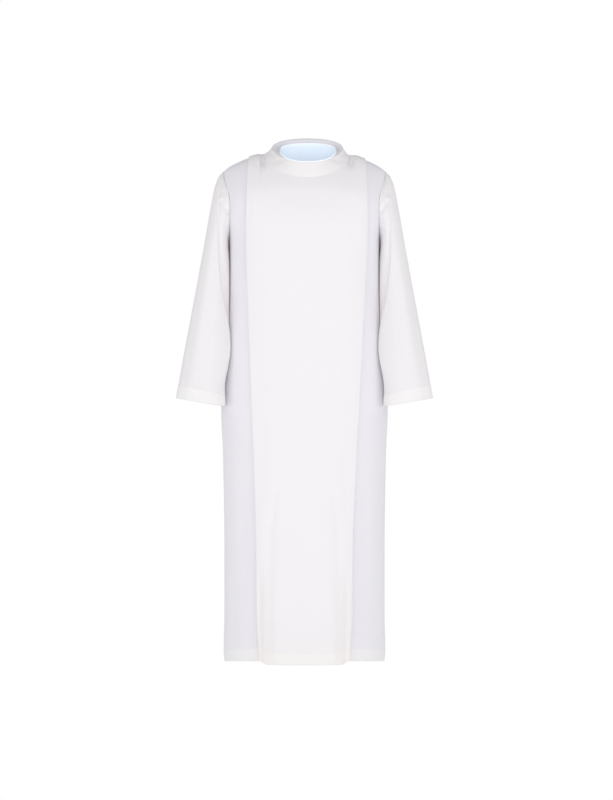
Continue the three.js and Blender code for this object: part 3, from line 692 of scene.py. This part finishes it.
def centre_panel():
    """The whole panel as one grid, from the seam under one edge to the seam under the other."""
    edge_z = row_heights(PANEL_ROWS)
    right_side, right_reach = pleat_side(edge_z, -1)
    left_side, left_reach = pleat_side(edge_z, 1)
    share = np.linspace(-1, 1, 125)[None, :]
    share = np.sign(share) * mix(np.abs(share), 1 - (1 - np.abs(share)) ** 1.5, 0.35)
    angle = np.where(share < 0, right_reach * share, left_reach * share)
    z = row_z(angle, edge_z, FRONT)
    x = body_point(angle, z, FRONT)[..., 0]
    relief = fold_relief(PANEL_FOLDS, x, z)
    below = top_z(x, FRONT) - z
    arc = 1 - smooth(np.abs(x - NECK_X), 60, 105)
    for distance, height, breadth in NECK_WRINKLES:
        relief += height * arc * bump(below - distance - 2 * np.sin(x / 31), breadth)
    for hx, hz, breadth, depth in HOLLOWS:
        relief -= depth * bump(np.hypot(x - hx, z - hz), breadth)
    top = panel_point(angle, edge_z, FRONT, top_height(share, x, z) + relief)
    whole = np.concatenate([right_side, top, left_side[:, ::-1]], 1)
    return hitched(whole, 3.5 + 9 * smooth(np.abs(whole[..., 0]), 104, 128))


centre_grid = centre_panel()
whole, masks = turned_up(centre_grid)
# Painted warm shade just inside the pleat's edges low down, and a faint painted shade that grows towards
# the hem.
painted_edge_shade = bump(np.abs(whole[..., 0] + 3) - 112, 15) * smooth(-whole[..., 2], 1120, 1270)
masks["painted_shade"] = 0.16 * painted_edge_shade + 0.05 * smooth(-whole[..., 2], 1250, 1400)
front_centre = cloth_piece("front_centre_panel", whole, cloth_centre, masks=masks)
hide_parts("front_centre", "front_centre_hem")

# %% [markdown]
# ## The side panels of the front
# Each side panel starts at the seam under the pleat and runs out to the armhole and the side seam. It
# dips a little where it goes under the pleat, so the pleat's edge throws a soft shadow on it.

# %% Side panels
SIDE_FOLDS = table(FOLD_COLUMNS, [
    (196, -95, 199, -420, 12, 1.6),
    (190, -330, 196, -760, 12, 1.0),
    (200, -760, 186, -1160, 14, 1.3),
    (168, -900, 172, -1330, 12, -1.0),
    (198, -1180, 202, -1400, 14, -1.6),
    (222, -80, 205, -160, 9, -1.2),
])


def side_panel(sign):
    """Grid from the covered seam to the outer edge."""
    edge_z = row_heights(PANEL_ROWS)
    fold = pleat_angle(edge_z, sign)
    inner = inwards(fold, edge_z, PLEAT_RETURN, sign)
    outer = edge_angle(edge_z)
    share = np.linspace(0, 1, 56)[None, :]
    angle = mix(inner, outer, share)
    z = row_z(sign * angle, edge_z, FRONT)
    x = np.abs(body_point(angle, z, FRONT)[..., 0])
    fold_x = pleat["half"](z) + sign * pleat["shift"](z)
    relief = fold_relief(SIDE_FOLDS, x, z)
    relief -= 2.2 * bump(x - fold_x, 9) * smooth(-z, 60, 160) * smooth(share, 0.05, 0.3)
    relief *= smooth(outer - angle, 0, 0.12)
    grid = panel_point(sign * angle, edge_z, FRONT, relief)
    return hitched(grid, 11.5 * np.clip(-grid[..., 1] / 125, 0, 1))


for side, sign in (("right", -1), ("left", 1)):
    grid = side_panel(sign)
    if sign < 0:
        grid = grid[:, ::-1]
    whole, masks = turned_up(grid)
    panel = cloth_piece(f"front_side_panel_{side}", whole, cloth_painted_shade, masks=masks)
    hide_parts(f"front_side_{side}", f"front_side_hem_{side}")

# %% [markdown]
# ## The back
# The back is one panel. Cloth that hangs free from the shoulders breaks into long soft folds that get
# deeper towards the hem, so the back's folds run down from the shoulder blades and open out at the
# bottom.

# %% Back panel
BACK_FOLDS = table("angle width depth top", [
    (-62, 9, 11, -360), (-39, 11, -12, -300), (-20, 8, 9, -430), (2, 11, -11, -340),
    (23, 9, 10, -400), (42, 10, -12, -280), (63, 9, 11, -420),
])


def back_panel():
    """Grid of the back, with its folds as bells of the angle that deepen from their top to the hem."""
    edge_z = row_heights(PANEL_ROWS)
    outer = edge_angle(edge_z)
    share = np.linspace(1, -1, 141)[None, :]
    angle = outer * share
    z = row_z(angle, edge_z, BACK)
    relief = np.zeros(z.shape)
    for f in BACK_FOLDS:
        fade = smooth(f["top"] - z, 0, f["top"] - HEM_Z)
        relief += f["depth"] * fade * bump(np.degrees(angle) - f["angle"], f["width"])
    relief *= np.cos(angle) ** 0.5
    return panel_point(angle, edge_z, BACK, relief)


whole, masks = turned_up(back_panel())
back = cloth_piece("back_panel", whole, cloth_painted_shade, masks=masks)
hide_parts("back", "back_hem")

# %% [markdown]
# ## Sleeves
# Each sleeve is a tube of rings, from the armhole to the cuff. The ring starts with the armhole's own
# shape and ends as an oval. The arm is held a little forward, so cloth from the underarm folds in behind
# the front of the sleeve: one long crease runs from the sleeve head down to the elbow, deep and sharp on
# one side and soft on the other.

# %% Rings of the sleeve
SLEEVE = table("v outX outZ inX inZ depth midY", [
    (0, 229.4, -48, 212.6, -245.6, 62, 0), (0.05, 242, -62, 215, -254, 66, -1),
    (0.12, 254, -92, 215.4, -270, 67, -3), (0.24, 266, -152, 214.8, -300, 66, -9),
    (0.4, 286, -268, 216, -372, 64, -20), (0.55, 305, -375, 220.2, -455, 62, -33),
    (0.7, 324, -480, 226, -540, 60, -48), (0.85, 343, -585, 225.5, -630, 58, -61),
    (1, 361, -690, 223, -713, 57, -72),
])
sleeve = {column: curve(SLEEVE, "v", column) for column in SLEEVE[0] if column != "v"}
BLEND_END = 0.3
# The back of the sleeve lies against the body: how far from it, at which turn in degrees, and how broadly.
TUCK = dict(clear=1.5, top=202, low=184, width=34)
TUCK_STARTS, TUCK_TURNS, TUCK_ENDS = (0.02, 0.15), (0.06, 0.3), (0.7, 0.92)  # shares of the sleeve's length
CREASE = table("v angle width depth", [
    (0.02, 30, 9, 0), (0.08, 44, 9, 3), (0.12, 52, 9, 4.5), (0.24, 80, 9, 6), (0.33, 96, 10, 10),
    (0.4, 110, 12, 17),
    (0.55, 142, 13, 25), (0.68, 170, 14, 15), (0.8, 196, 14, 4), (0.9, 212, 14, 0),
])
crease = {column: curve(CREASE, "v", column) for column in ("angle", "width", "depth")}
SLEEVE_FOLDS = table("v0 angle0 v1 angle1 width depth", [
    (0.5, 105, 1.15, 96, 9, 1.8), (0.3, 62, 0.95, 70, 10, -1.6), (0.55, 40, 1.2, 44, 11, 1.6),
    (0.1, 262, 0.7, 244, 14, 7), (0.3, 300, 1.2, 280, 14, 4), (0.05, 318, 0.5, 330, 12, 3),
    (0.5, 8, 1.2, 2, 12, 1.2),
])
HEAD_FOLDS = table(FOLD_COLUMNS, [
    (237, -128, 207, -178, 6, -8.5),
    (243, -120, 212, -164, 7, 4.5),
    (233, -60, 229, -108, 5, 3.5),
    (243, -128, 236, -190, 7, 2.0),
])


def ring_point(turn, v):
    """The plain ring: an oval between its outer and its inner edge. Turn 0 is the outer edge, 90 degrees
    the front."""
    across = (1 + np.cos(turn)) / 2
    x = mix(sleeve["inX"](v), sleeve["outX"](v), across)
    y = sleeve["midY"](v) - sleeve["depth"](v) * np.sin(turn)
    return np.stack([x, y, mix(sleeve["inZ"](v), sleeve["outZ"](v), across)], -1)


def armhole_point(turn):
    """The armhole's edge for the same turn, moved clear of the panels."""
    z = mix(UNDERARM_Z, ARMHOLE_TOP_Z, (1 + np.cos(turn)) / 2)
    front = body_point(edge_angle(z), z, FRONT)
    behind = body_point(edge_angle(z), z, BACK)
    point = np.where((np.sin(turn) >= 0)[..., None], front, behind)
    away = point * [0, 1, 1] - np.array([0, 0, (ARMHOLE_TOP_Z + UNDERARM_Z) / 2])
    away /= np.maximum(np.linalg.norm(away, axis=-1, keepdims=True), 1e-9)
    return point + [0.9, 0, 0] + away * 0.35


def sleeve_depth(turn, v):
    """How far the sleeve's folds sink towards the ring's middle. The main crease rises at once on one
    side, as d times e to the (1 - d), where d is the angle past the crease in widths."""
    degrees = np.degrees(turn)
    past = np.maximum(0, degrees - crease["angle"](v)) / crease["width"](v)
    depth = crease["depth"](v) * past * np.exp(1 - past)
    for f in SLEEVE_FOLDS:
        along = (v - f["v0"]) / (f["v1"] - f["v0"])
        ends = np.sin(math.pi * np.clip(along, 0, 1)) ** 0.7
        path = mix(f["angle0"], f["angle1"], along)
        depth = depth + f["depth"] * ends * bump(degrees - path, f["width"])
    return depth


def side_x(y, z):
    """How far out the body reaches at a distance y in front of or behind its side seam."""
    reach = np.where(y < 0, body_reach[FRONT](z), body_reach[BACK](z))
    cosine = np.clip(np.abs(y) / reach, 0, 1) ** (1 / body_round(z))
    return body_half(z) * (1 - cosine ** 2) ** (body_round(z) / 2)


def sleeve_grid(rows=150, columns=220):
    """Grid of the wearer's left sleeve."""
    v = np.linspace(0, 1, rows)[:, None]
    v = mix(v, v ** 1.7, 0.5)
    turn = (np.arange(columns) * 2 * math.pi / columns)[None, :]
    point = ring_point(turn, v)
    share = np.maximum(0, 1 - v / BLEND_END) ** 2
    point = point + (armhole_point(turn) - ring_point(turn, np.zeros_like(v))) * share[..., None]
    middle = (ring_point(np.zeros_like(turn), v) + ring_point(np.full_like(turn, math.pi), v)) / 2
    towards = middle - point
    towards /= np.linalg.norm(towards, axis=-1, keepdims=True)
    depth = sleeve_depth(turn, v) * smooth(v, 0, 0.03)
    point = point + towards * depth[..., None]
    touching = mix(TUCK["top"], TUCK["low"], smooth(v, *TUCK_TURNS))
    held = smooth(v, *TUCK_STARTS) * (1 - smooth(v, *TUCK_ENDS))
    tuck = bump(np.degrees(turn) - touching, TUCK["width"]) * held
    away = point[..., 0] - side_x(point[..., 1], point[..., 2]) - TUCK["clear"]
    point[..., 0] -= np.maximum(away, 0) * tuck
    in_front = smooth(np.sin(turn), 0, 0.3) * smooth(v, 0, 0.02)
    head = fold_relief(HEAD_FOLDS, point[..., 0], point[..., 2]) * in_front
    point[..., 1] -= head
    return point


left_sleeve = sleeve_grid()
for side, sign in (("right", -1), ("left", 1)):
    grid = left_sleeve * [sign, 1, 1]
    if sign > 0:
        grid = grid[:, ::-1]
    whole, masks = turned_up(grid, closed=True)
    # Painted warm shade along the sleeve's edge next to the body, from below the sleeve head down, stronger
    # towards the back.
    inner = bump(np.abs(whole[..., 0]) - 222, 16) * smooth(-whole[..., 2], 170, 330)
    masks["painted_shade"] = 0.10 * inner + 0.30 * inner * smooth(whole[..., 1], -75, -10)
    tube = cloth_piece(f"sleeve_tube_{side}", whole, cloth_sleeve, closed=True, masks=masks)
    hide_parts(f"sleeve_{side}", f"cuff_hem_{side}")

# %% [markdown]
# ## Collar
# The collar is a funnel of stiffened cloth, sewn round the neckline and leaning in towards the neck. Its
# front rim is low and its back rim high. At its rim the outer band folds in as a facing, which reaches the
# inner band. The inner band shows as a thin edge in front, made whiter along its top as a painted
# highlight, and as the lining at the back of the neck.

# %% Collar bands
OUTER_RIM = dict(half_x=101, half_y=80, mid_x=8, mid_y=-5, mid_z=12.5, tilt=40, square=1, lift=5)
INNER_RIM = dict(half_x=79, half_y=73, mid_x=10, mid_y=-9.5, mid_z=7, tilt=32, square=0.86, lift=6)
RIM_OUT, RIM_DOWN = 2.0, 3.2
RIM_PARTS = (35, 82)  # degrees from the front, where the two bands part
LINING_FOOT, LINING_SPREAD = 60.0, 1.06
COLLAR_CLOTH = 1.2
FLUSH = -0.5  # the collar's foot slips this far behind the panel's edge


def rim_point(rim, turn):
    """A rim: an ellipse in a tilted plane, lifted at its sides. Turn 0 is the front."""
    across, ahead = power(np.sin(turn), rim["square"]), power(np.cos(turn), rim["square"])
    z = rim["mid_z"] - rim["tilt"] * ahead + rim["lift"] * (1 - ahead ** 2)
    return np.stack([rim["mid_x"] + rim["half_x"] * across, rim["mid_y"] - rim["half_y"] * ahead, z], -1)


def outer_rim(turn):
    """The outer band's rim. In front it follows the inner band's edge, a little outside and below it.
    Towards the back it is an ellipse of its own, so a gap opens between the two bands."""
    own, edge = rim_point(OUTER_RIM, turn), rim_point(INNER_RIM, turn)
    out = np.stack([np.sin(turn), -np.cos(turn), np.zeros_like(turn)], -1)
    close = edge + out * RIM_OUT - [0, 0, RIM_DOWN]
    apart = smooth(np.degrees(np.arccos(np.cos(turn))), *RIM_PARTS)
    return mix(close, own, apart[..., None])


def neckline_point(turn):
    """The neckline's edge on the body, for the same turn."""
    x = NECK_X + NECK_HALF * np.sin(turn)
    points = []
    for side in (FRONT, BACK):
        z = top_z(x, side)
        angle = np.sign(x) * angle_at(np.abs(x) / SHOULDER_HALF, z)
        point = body_point(angle, z, side)
        if side == FRONT:
            share = np.where(angle < 0, angle / top_reach[-1], angle / top_reach[1])
            lift = top_height(share, x, z) * (1 - smooth(np.abs(np.degrees(turn)), 80, 89))
            point = point + body_normal(angle, z, side) * (lift + FLUSH)[..., None]
        points.append(point)
    return np.where((np.cos(turn) >= 0)[..., None], points[0], points[1])


COLLAR_FOLDS = table("angle slope width height", [
    (48, -14, 5, 0.9), (60, -20, 5, -1.1), (71, -22, 5, 1.2), (84, -24, 6, -1.3), (-46, -12, 5, 0.9),
    (-58, -20, 5, -1.2), (-70, -24, 5, 1.2), (-82, -24, 6, -1.3), (12, 4, 14, 0.5), (-18, -3, 12, -0.5),
])


# share of the way out to the rim, and how far the facing sags there
FACING = [(0.0, 0.0), (0.2, 2.4), (0.4, 3.8), (0.6, 4.0), (0.8, 2.6), (0.93, 1.0)]
FACING_WIDE = 14  # a facing narrower than this sags less
FACING_CLEAR, FACING_DROP = 1.3, 3.4  # where the facing meets the inner band
COLLAR_SWELL = 0.6
FLARE = 1.45  # how much the band flattens towards its foot
FOOT_OVERLAP = 2.0  # the foot covers the neckline's raw edge


def collar_outer(from_degrees, to_degrees, columns, rows=26):
    """Grid of a stretch of the outer band. It flares from the rim to the neckline: the way out goes by a
    power of the way down, so that the foot lies nearly flat on the shoulders. Slanting folds cross its
    sides."""
    turn = np.radians(np.linspace(from_degrees, to_degrees, columns))[None, :]
    level = np.linspace(1, 0, rows)[:, None]
    foot, rim = neckline_point(turn), outer_rim(turn)
    out = np.stack([np.sin(turn), -np.cos(turn), np.zeros_like(turn)], -1)
    foot = foot + (foot - rim) / np.linalg.norm(foot - rim, axis=-1, keepdims=True) * FOOT_OVERLAP
    sideways = np.sin(turn) ** 2
    flat = mix(level, 1 - (1 - level) ** FLARE, sideways)
    point = foot + (rim - foot) * np.stack([flat, flat, np.broadcast_to(level, flat.shape)], -1)
    swell = COLLAR_SWELL * np.sin(math.pi * level) ** 1.5
    degrees = np.degrees(turn)
    for f in COLLAR_FOLDS:
        sign = np.sign(f["angle"])
        swell = swell + f["height"] * np.sin(math.pi * level) ** 0.7 * bump(
            degrees - f["angle"] - sign * f["slope"] * (level - 0.5), f["width"])
    band = point + out * swell[..., None]
    edge = rim_point(INNER_RIM, turn) + out * FACING_CLEAR - [0, 0, FACING_DROP]
    gap = np.linalg.norm(rim - edge, axis=-1, keepdims=True)
    slack = np.minimum(gap / FACING_WIDE, 1)
    facing = [mix(edge, rim, across) - np.array([0, 0, sag]) * slack for across, sag in FACING]
    return np.concatenate(facing + [band])


collar_front = cloth_piece("collar_front_band", collar_outer(-89.4, 89.4, 150), cloth_collar_painted_light,
                           thickness=COLLAR_CLOTH)
collar_back = cloth_piece("collar_back_band", collar_outer(90.6, 269.4, 130), cloth_painted_shade,
                          thickness=COLLAR_CLOTH)
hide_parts("collar_front")
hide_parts("collar_back")

LINING_HIGHLIGHT, LINING_FADE = 3.5, 0.8  # the band's edge carries a painted highlight down to here, and it fades over this
LINING_COLUMNS, LINING_ROWS = 160, 26


def lining():
    """Grid of the inner band, down from its edge with a little spread. Its top few millimetres are
    made whiter, as a painted highlight."""
    turn = (np.arange(LINING_COLUMNS) * 2 * math.pi / LINING_COLUMNS)[None, :]
    edge = rim_point(INNER_RIM, turn)[0]
    middle = np.array([INNER_RIM["mid_x"], INNER_RIM["mid_y"], 0])
    level = np.linspace(0, 1, LINING_ROWS)[:, None, None] ** 1.5
    spread = np.concatenate([mix(1, LINING_SPREAD, level)] * 2 + [np.ones_like(level)], -1)
    grid = middle + (edge - middle) * spread - np.array([0, 0, LINING_FOOT]) * level
    edge_highlight = smooth(LINING_FOOT * level[..., 0], LINING_HIGHLIGHT + LINING_FADE, LINING_HIGHLIGHT)
    return grid, dict(double_and_highlight=np.repeat(edge_highlight, LINING_COLUMNS, 1))


lining_grid, lining_masks = lining()
collar_inner = cloth_piece("collar_inner_band", lining_grid, cloth_lining, closed=True,
                           masks=lining_masks)
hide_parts("collar_inner")

# %% [markdown]
# ## Stitches
# The hem and the cuffs are turned up and sewn down. Each stitch is a small rounded bar that lies on the
# cloth along its line, a little shorter than the step from one stitch to the next. One array holds them
# all, so a thousand stitches cost no more work than one.

# %% Stitches along the hems
STITCH = dict(pitch=3.6, length=2.7, radius=0.28)


def stitch_mesh(name, lines, material):
    """All the stitches of some lines as one mesh: rings round an axis that follows the line, closed at
    both tips."""
    centres, tangents, normals = [], [], []
    for points, normal, closed in lines:
        if closed:
            points, normal = np.concatenate([points, points[:1]]), np.concatenate([normal, normal[:1]])
        along = np.concatenate([[0], np.cumsum(np.linalg.norm(np.diff(points, axis=0), axis=-1))])
        at = np.arange(STITCH["pitch"] / 2, along[-1], STITCH["pitch"])
        centre = np.stack([np.interp(at, along, points[:, k]) for k in range(3)], -1)
        ahead = np.stack([np.interp(at + 1, along, points[:, k]) for k in range(3)], -1)
        behind = np.stack([np.interp(at - 1, along, points[:, k]) for k in range(3)], -1)
        centres.append(centre)
        tangents.append((ahead - behind) / np.linalg.norm(ahead - behind, axis=-1, keepdims=True))
        normals.append(np.stack([np.interp(at, along, normal[:, k]) for k in range(3)], -1))
    centre, tangent, normal = (np.concatenate(part) for part in (centres, tangents, normals))
    side = np.cross(normal, tangent)
    stations = np.array([(-1, 0.02), (-0.7, 0.75), (0, 1), (0.7, 0.75), (1, 0.02)])
    turn = np.arange(6) * math.pi / 3
    s, r = stations[:, 0][None, :, None, None], stations[:, 1][None, :, None, None]
    ring = side[:, None, None] * np.cos(turn)[None, None, :, None] + normal[:, None, None] * np.sin(turn)[
        None, None, :, None]
    bar = tangent[:, None, None] * s * STITCH["length"] / 2 + ring * r * STITCH["radius"]
    points = centre[:, None, None] + bar
    count, rings, around = points.shape[:3]
    i, j, k = np.meshgrid(np.arange(count), np.arange(rings - 1), np.arange(around), indexing="ij")
    base = i * rings * around
    after = (k + 1) % around
    walls = np.stack([base + j * around + k, base + (j + 1) * around + k, base + (j + 1) * around + after,
                      base + j * around + after], -1).reshape(-1, 4).tolist()
    first = np.arange(count)[:, None] * rings * around
    one_ring = np.arange(around)
    ends = np.concatenate([first + one_ring, first + (rings - 1) * around + one_ring[::-1]])
    mesh = bpy.data.meshes.new(name)
    mesh.from_pydata((points.reshape(-1, 3) * MM).tolist(), [], walls + ends.tolist())
    mesh.polygons.foreach_set("use_smooth", np.ones(len(mesh.polygons), bool))
    mesh.materials.append(material)
    piece = bpy.data.objects.new(name, mesh)
    scene.collection.objects.link(piece)
    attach(piece, "root")
    print(name, count, "stitches")
    return piece


sewn = {"front_centre": "front_centre_panel", "front_side_right": "front_side_panel_right",
        "front_side_left": "front_side_panel_left", "back": "back_panel",
        "cuff_right": "sleeve_tube_right", "cuff_left": "sleeve_tube_left"}
stitches = {piece: stitch_mesh(f"stitches_{name}", [line], thread)
            for (name, piece), line in zip(sewn.items(), stitch_lines)}

# %% [markdown]

# %% [markdown]
# ## Light and floor
# A white garment on a white ground needs light from nearly everywhere, or its folds turn grey. The sky is
# a little dimmer overhead, so the shoulders read as a slope, and one large lamp in front gives the folds
# a direction. What the camera sees behind the robe is plain white.

# %% Studio
SKY_HIGH, SKY_LOW = 0.41, 0.84
world = bpy.data.worlds.new("studio")
scene.world = world
world.use_nodes = True
tree = world.node_tree
sky = tree.nodes["Background"]
sky.inputs["Color"].default_value = (1, 1, 1, 1)
direction = tree.nodes.new("ShaderNodeTexCoord")
height = tree.nodes.new("ShaderNodeSeparateXYZ")
tree.links.new(direction.outputs["Generated"], height.inputs[0])
fade = tree.nodes.new("ShaderNodeMapRange")
fade.inputs["From Min"].default_value, fade.inputs["From Max"].default_value = 0.0, 0.9
fade.inputs["To Min"].default_value, fade.inputs["To Max"].default_value = SKY_LOW, SKY_HIGH
tree.links.new(height.outputs["Z"], fade.inputs["Value"])
path = tree.nodes.new("ShaderNodeLightPath")
seen = math_node(tree, "MAXIMUM", path.outputs["Is Camera Ray"], fade.outputs[0])
tree.links.new(seen, sky.inputs["Strength"])
scene.view_settings.view_transform = "Standard"


def softbox(name, location, target, size, watts, color=(1, 1, 1)):
    """A square area light that faces a target."""
    light = bpy.data.lights.new(name, "AREA")
    light.energy, light.size, light.color = watts, size, color
    lamp = bpy.data.objects.new(name, light)
    scene.collection.objects.link(lamp)
    lamp.location = location
    lamp.rotation_euler = (Vector(target) - Vector(location)).to_track_quat("-Z", "Y").to_euler()
    return lamp


softbox("key", (0.2, -4.2, 0.1), (0, 0, -0.6), 2.2, 25, (1, 0.99, 0.98))
for name, x in (("fill_right", -3.2), ("fill_left", 3.2)):
    softbox(name, (x, -3.4, -0.8), (0, 0, -0.75), 1.8, 23)

FLOOR_HALF = 60.0
FLOOR_GLOW = 0.805  # light that the floor gives the robe
FLOOR_GAP = 0.12  # the robe hangs this far above the floor
floor_z = low[2] - FLOOR_GAP
floor_mesh = bpy.data.meshes.new("floor")
corners = np.array([[-1, -1, 0], [1, -1, 0], [1, 1, 0], [-1, 1, 0]]) * FLOOR_HALF + [0, 0, floor_z]
floor_mesh.from_pydata(corners.tolist(), [], [(0, 1, 2, 3)])
floor = bpy.data.objects.new("floor", floor_mesh)
scene.collection.objects.link(floor)
lit = bpy.data.materials.new("lit_floor")
lit.use_nodes = True
lit_shader = lit.node_tree.nodes["Principled BSDF"]
lit_shader.inputs["Base Color"].default_value = (0, 0, 0, 1)
lit_shader.inputs["Specular IOR Level"].default_value = 0
lit_shader.inputs["Emission Color"].default_value = (1, 1, 1, 1)
seen = lit.node_tree.nodes.new("ShaderNodeLightPath").outputs["Is Camera Ray"]
glow = math_node(lit.node_tree, "MAXIMUM", seen, FLOOR_GLOW)
lit.node_tree.links.new(glow, lit_shader.inputs["Emission Strength"])
floor_mesh.materials.append(lit)
